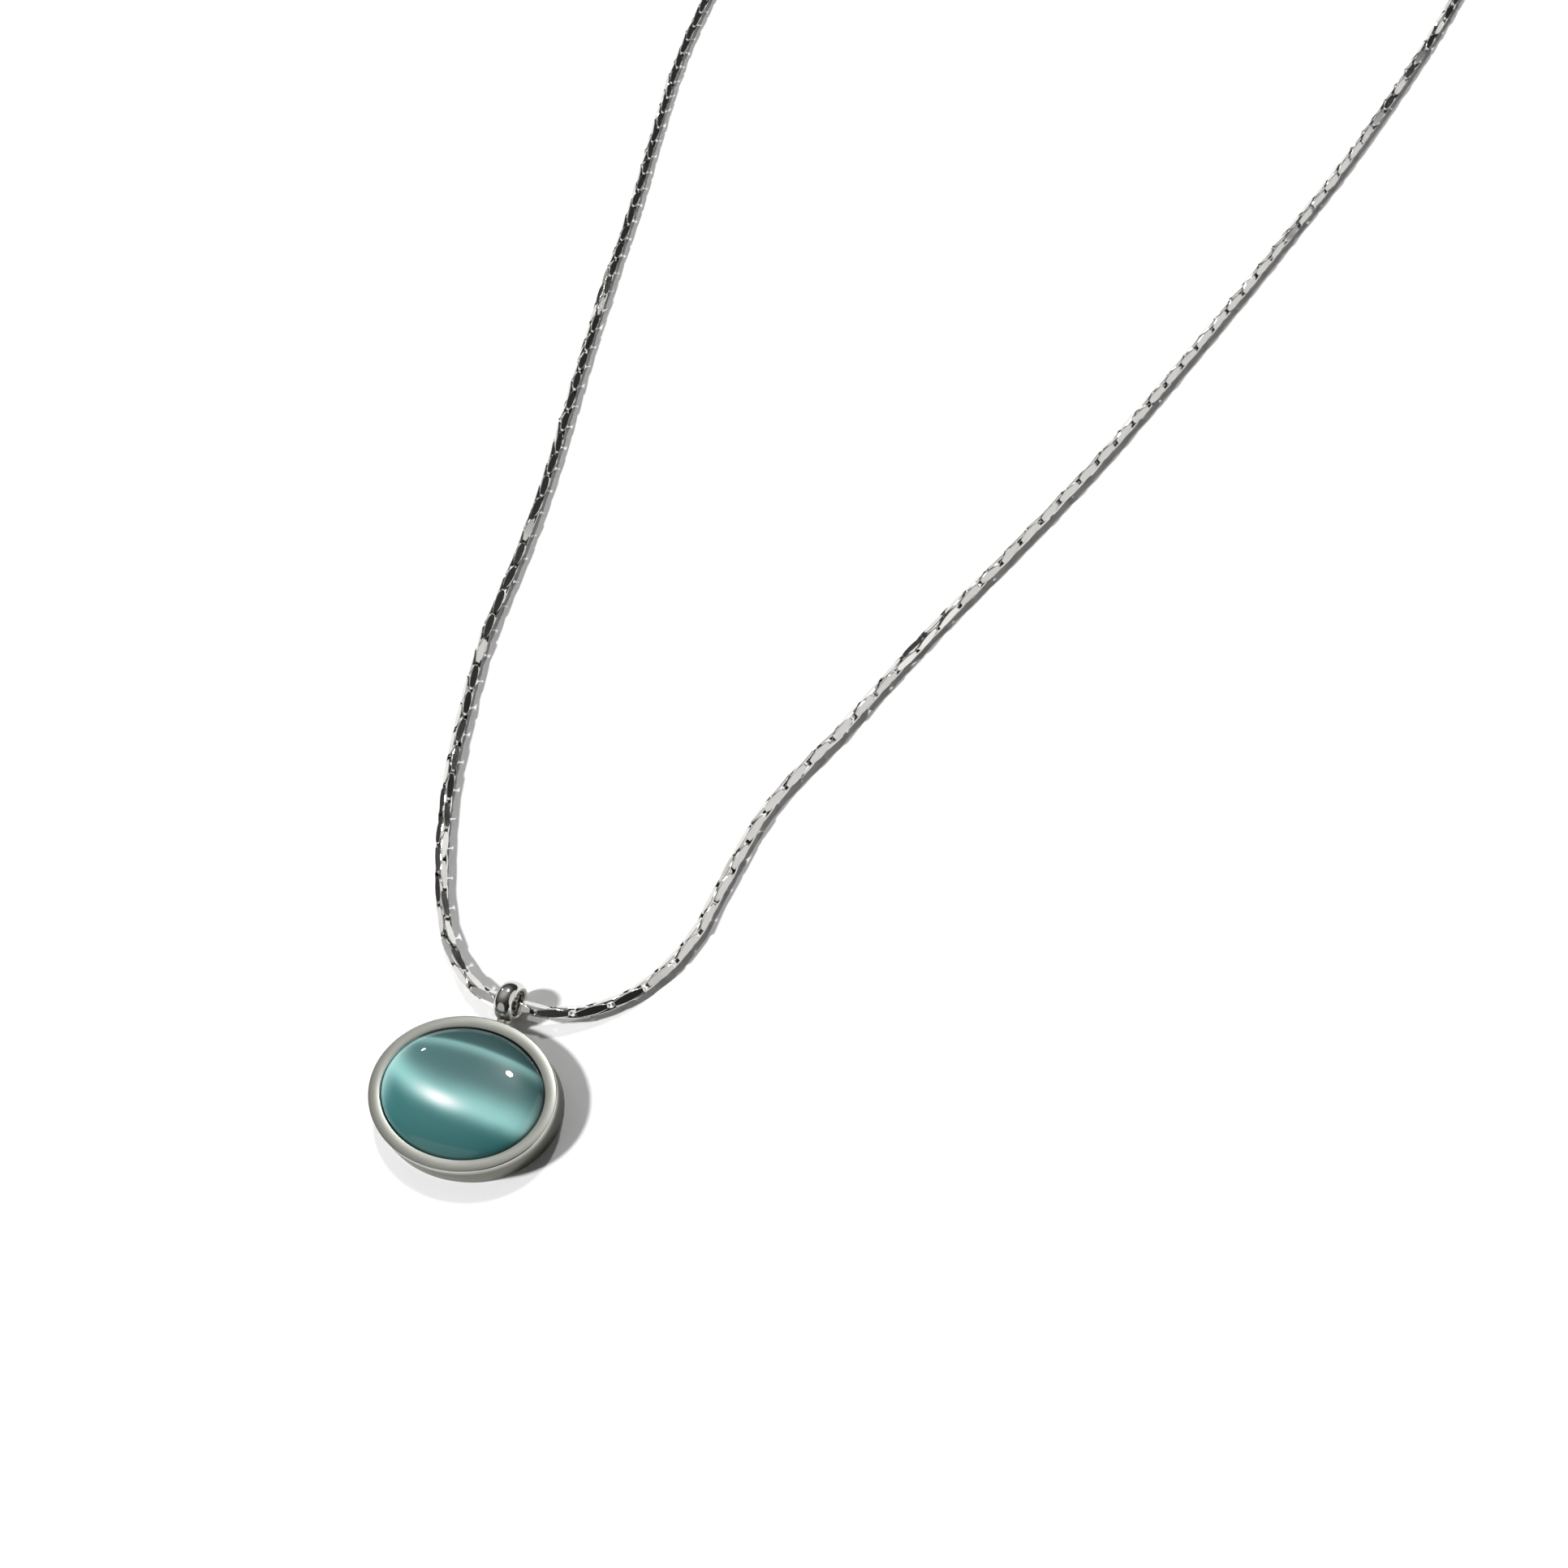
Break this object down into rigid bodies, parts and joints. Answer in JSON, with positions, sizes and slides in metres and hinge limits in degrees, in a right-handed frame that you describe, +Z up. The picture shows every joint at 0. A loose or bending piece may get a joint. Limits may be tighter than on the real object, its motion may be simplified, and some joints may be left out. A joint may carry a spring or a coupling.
{
  "type": "pendant necklace",
  "caption": "Fine link chain necklace with an oval cat's-eye cabochon in a steel bezel cup, a fixed ring bail, a trigger clasp and an extender.",
  "frame": {"origin": "centre of the pendant's footprint (cup and bail), on the surface that it lies on", "axes": "+Z up, out of the stone's crown; +X along the oval's long axis; +Y from the oval towards the bail"},
  "size_m": [0.0874, 0.2246, 0.0034],
  "materials": {
    "satin_steel": "satin stainless steel, fine grain, softly brushed flat rim",
    "polished_steel": "polished stainless steel with light handling scratches",
    "chain_steel": "polished stainless steel link facets",
    "cats_eye_glass": "opaque teal fibre-optic glass with a bright moving band, high polish",
    "adhesive": "cured clear-grey epoxy",
    "spring_steel": "drawn spring wire"
  },
  "bodies": {
    "chain": {"chain": "chain_steel"},
    "pendant": {"bezel_cup": "satin_steel", "adhesive_pad": "adhesive", "cabochon": "cats_eye_glass", "bail": "polished_steel"},
    "clasp_ring": {"clasp_ring": "polished_steel"},
    "clasp": {"clasp_body": "polished_steel", "clasp_pin": "polished_steel", "clasp_spring": "spring_steel"},
    "trigger": {"clasp_trigger": "polished_steel"},
    "extender_ring": {"extender_ring": "polished_steel"},
    "extender_link_01": {"extender_link_01": "polished_steel"},
    "extender_link_02": {"extender_link_02": "polished_steel"},
    "extender_link_03": {"extender_link_03": "polished_steel"},
    "extender_link_04": {"extender_link_04": "polished_steel"},
    "extender_link_05": {"extender_link_05": "polished_steel"},
    "extender_link_06": {"extender_link_06": "polished_steel"},
    "extender_link_07": {"extender_link_07": "polished_steel"},
    "extender_link_08": {"extender_link_08": "polished_steel"},
    "extender_link_09": {"extender_link_09": "polished_steel"},
    "extender_link_10": {"extender_link_10": "polished_steel"},
    "extender_link_11": {"extender_link_11": "polished_steel"},
    "extender_link_12": {"extender_link_12": "polished_steel"},
    "extender_drop": {"extender_drop": "polished_steel"}
  },
  "joints": [
    {"name": "pendant_swing", "type": "hinge", "parent": "chain", "child": "pendant", "pos_m": [0, 0.0059, 0.00135], "axis": [-1, 0, 0], "range_deg": [0, 150]},
    {"name": "clasp_ring_swing", "type": "hinge", "parent": "chain", "child": "clasp_ring", "pos_m": [-0.02104, 0.18179, 0.00142], "axis": [0, 0, 1], "range_deg": [-25, 25]},
    {"name": "clasp_swing", "type": "hinge", "parent": "clasp_ring", "child": "clasp", "pos_m": [-0.01888, 0.18266, 0.0013], "axis": [0, 0, 1], "range_deg": [-18, 18]},
    {"name": "trigger_press", "type": "hinge", "parent": "clasp", "child": "trigger", "pos_m": [-0.01516, 0.18513, 0.0013], "axis": [0, 0, -1], "range_deg": [0, 20], "stiffness_Nm_per_rad": 0.00002, "springref_deg": -17.19},
    {"name": "extender_ring_swing", "type": "hinge", "parent": "chain", "child": "extender_ring", "pos_m": [0.03996, 0.18484, 0.0012], "axis": [0, 0, 1], "range_deg": [-25, 25]},
    {"name": "link_01_swing", "type": "hinge", "parent": "extender_ring", "child": "extender_link_01", "pos_m": [0.0388, 0.18685, 0.00122], "axis": [0, 0, 1], "range_deg": [-18, 18]},
    {"name": "link_02_swing", "type": "hinge", "parent": "extender_link_01", "child": "extender_link_02", "pos_m": [0.03712, 0.18951, 0.00122], "axis": [0, 0, 1], "range_deg": [-18, 18]},
    {"name": "link_03_swing", "type": "hinge", "parent": "extender_link_02", "child": "extender_link_03", "pos_m": [0.03533, 0.19211, 0.00122], "axis": [0, 0, 1], "range_deg": [-18, 18]},
    {"name": "link_04_swing", "type": "hinge", "parent": "extender_link_03", "child": "extender_link_04", "pos_m": [0.03345, 0.19464, 0.00122], "axis": [0, 0, 1], "range_deg": [-18, 18]},
    {"name": "link_05_swing", "type": "hinge", "parent": "extender_link_04", "child": "extender_link_05", "pos_m": [0.03147, 0.19709, 0.00122], "axis": [0, 0, 1], "range_deg": [-18, 18]},
    {"name": "link_06_swing", "type": "hinge", "parent": "extender_link_05", "child": "extender_link_06", "pos_m": [0.0294, 0.19946, 0.00122], "axis": [0, 0, 1], "range_deg": [-18, 18]},
    {"name": "link_07_swing", "type": "hinge", "parent": "extender_link_06", "child": "extender_link_07", "pos_m": [0.02724, 0.20175, 0.00122], "axis": [0, 0, 1], "range_deg": [-18, 18]},
    {"name": "link_08_swing", "type": "hinge", "parent": "extender_link_07", "child": "extender_link_08", "pos_m": [0.02499, 0.20396, 0.00122], "axis": [0, 0, 1], "range_deg": [-18, 18]},
    {"name": "link_09_swing", "type": "hinge", "parent": "extender_link_08", "child": "extender_link_09", "pos_m": [0.02267, 0.20608, 0.00122], "axis": [0, 0, 1], "range_deg": [-18, 18]},
    {"name": "link_10_swing", "type": "hinge", "parent": "extender_link_09", "child": "extender_link_10", "pos_m": [0.02026, 0.20811, 0.00122], "axis": [0, 0, 1], "range_deg": [-18, 18]},
    {"name": "link_11_swing", "type": "hinge", "parent": "extender_link_10", "child": "extender_link_11", "pos_m": [0.01777, 0.21004, 0.00122], "axis": [0, 0, 1], "range_deg": [-18, 18]},
    {"name": "link_12_swing", "type": "hinge", "parent": "extender_link_11", "child": "extender_link_12", "pos_m": [0.01521, 0.21188, 0.00122], "axis": [0, 0, 1], "range_deg": [-18, 18]},
    {"name": "drop_swing", "type": "hinge", "parent": "extender_link_12", "child": "extender_drop", "pos_m": [0.01259, 0.21362, 0.0014], "axis": [0, 0, 1], "range_deg": [-18, 18]}
  ]
}
